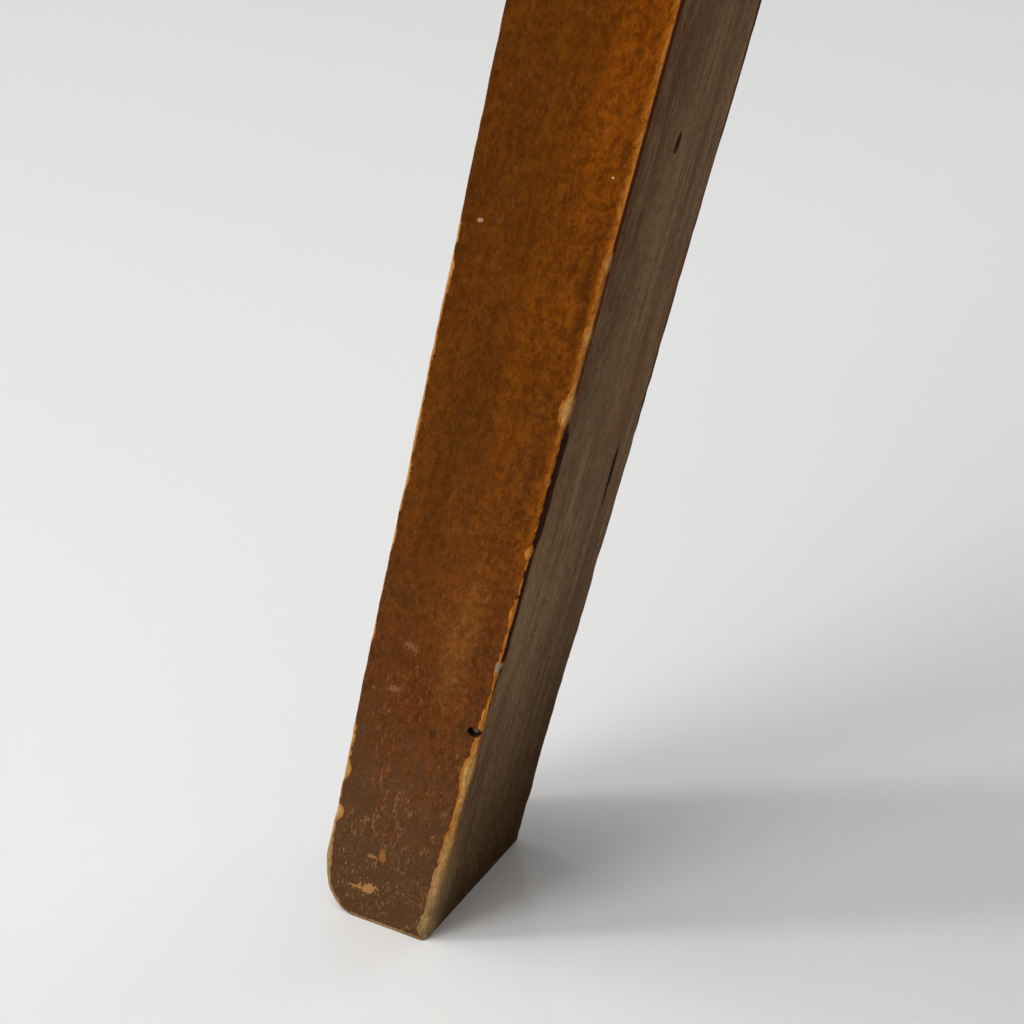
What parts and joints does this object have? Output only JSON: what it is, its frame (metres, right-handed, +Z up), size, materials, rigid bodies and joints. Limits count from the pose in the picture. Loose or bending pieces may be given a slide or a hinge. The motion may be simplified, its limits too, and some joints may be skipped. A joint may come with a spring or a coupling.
{
  "type": "three leg stool",
  "caption": "Wooden tripod stool: splayed rectangular legs with worn varnish, joined by a bearer under a round seat.",
  "frame": {"origin": "on the floor, under the middle of the stool's outer box; the seat's centre is 24 mm behind it", "axes": "+Z up, +X to the right of the front leg, +Y away from the front leg"},
  "size_m": [0.3924, 0.3786, 0.45],
  "materials": {
    "leg_wood": "aged orange-brown varnish, worn to bare wood at the edges",
    "bearer_wood": "unvarnished planed wood, dull grey-brown and dusty",
    "seat_wood": "aged orange-brown varnish, rubbed on top",
    "peg_wood": "bare and end-grain wood, matt",
    "screw_steel": "dulled steel with light rust"
  },
  "bodies": {
    "root": {"leg_left": "leg_wood", "bearer_arm_left": "bearer_wood", "peg_upper_left": "peg_wood", "peg_lower_left": "peg_wood", "screw_inner_left": "screw_steel", "screw_outer_left": "screw_steel", "leg_right": "leg_wood", "bearer_arm_right": "bearer_wood", "peg_upper_right": "peg_wood", "peg_lower_right": "peg_wood", "screw_inner_right": "screw_steel", "screw_outer_right": "screw_steel", "leg_front": "leg_wood", "bearer_arm_front": "bearer_wood", "peg_upper_front": "peg_wood", "peg_lower_front": "peg_wood", "screw_inner_front": "screw_steel", "screw_outer_front": "screw_steel", "hub_block": "bearer_wood", "screw_hub": "screw_steel", "seat_board_front": "seat_wood", "seat_board_middle": "seat_wood", "seat_board_back": "seat_wood", "seat_tongue_back": "peg_wood", "seat_tongue_front": "peg_wood"}
  },
  "joints": []
}
